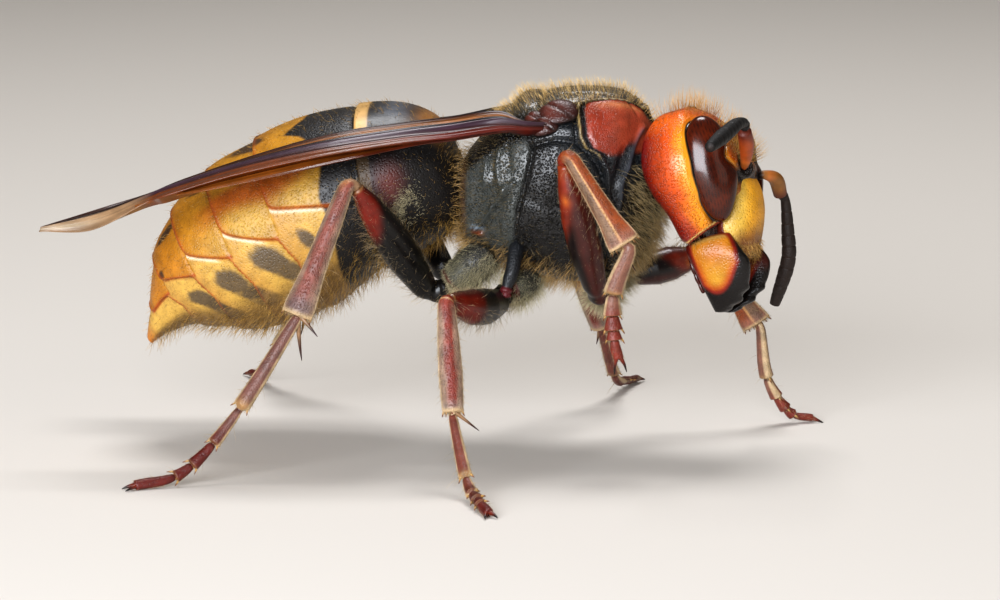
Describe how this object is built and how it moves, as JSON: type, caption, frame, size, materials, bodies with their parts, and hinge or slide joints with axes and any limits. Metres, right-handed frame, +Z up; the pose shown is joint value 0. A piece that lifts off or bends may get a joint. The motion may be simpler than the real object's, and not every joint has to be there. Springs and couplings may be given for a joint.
{
  "type": "european hornet model",
  "caption": "Still life-size model of a standing european hornet with folded wings, long legs, elbowed feelers and a raised fore leg, for display.",
  "frame": {"origin": "centre of the bounding box on the floor that the feet stand on", "axes": "+X towards the head along the body, +Y to the hornet's left, +Z up"},
  "size_m": [0.0302, 0.0284, 0.0145],
  "materials": {
    "head_shell": "leathery orange cuticle, finely pitted, satin gloss",
    "yellow_shell": "yellow cuticle with dark marks, satin gloss, short golden hair",
    "red_shell": "red-brown cuticle, satin gloss, short pale hair",
    "black_shell": "black-brown cuticle, pitted, satin gloss, golden hair",
    "eye": "smooth glossy chestnut",
    "wing": "thin amber membrane with dark glossy veins"
  },
  "bodies": {
    "root": {"head": "head_shell", "clypeus": "yellow_shell", "eye_right": "eye", "eye_left": "eye", "mandible_right": "head_shell", "mandible_left": "head_shell", "scape_right": "red_shell", "scape_left": "red_shell", "flagellum_right": "black_shell", "flagellum_left": "black_shell", "pronotum": "red_shell", "mesothorax": "black_shell", "propodeum": "black_shell", "tegula_right": "red_shell", "tegula_left": "red_shell", "forewing_right": "wing", "forewing_left": "wing", "hindwing_right": "wing", "hindwing_left": "wing", "gaster_1": "black_shell", "gaster_2": "yellow_shell", "gaster_3": "yellow_shell", "gaster_4": "yellow_shell", "gaster_5": "yellow_shell", "gaster_6": "yellow_shell", "coxa_hind_right": "black_shell", "femur_hind_right": "black_shell", "tibia_hind_right": "red_shell", "tarsus_hind_right": "red_shell", "coxa_mid_right": "black_shell", "femur_mid_right": "black_shell", "tibia_mid_right": "red_shell", "tarsus_mid_right": "red_shell", "coxa_fore_right": "black_shell", "femur_fore_right": "red_shell", "tibia_fore_right": "red_shell", "tarsus_fore_right": "red_shell", "coxa_fore_left": "black_shell", "femur_fore_left": "red_shell", "tibia_fore_left": "red_shell", "tarsus_fore_left": "red_shell", "coxa_mid_left": "black_shell", "femur_mid_left": "black_shell", "tibia_mid_left": "red_shell", "tarsus_mid_left": "red_shell", "coxa_hind_left": "black_shell", "femur_hind_left": "black_shell", "tibia_hind_left": "red_shell", "tarsus_hind_left": "red_shell"}
  },
  "joints": []
}
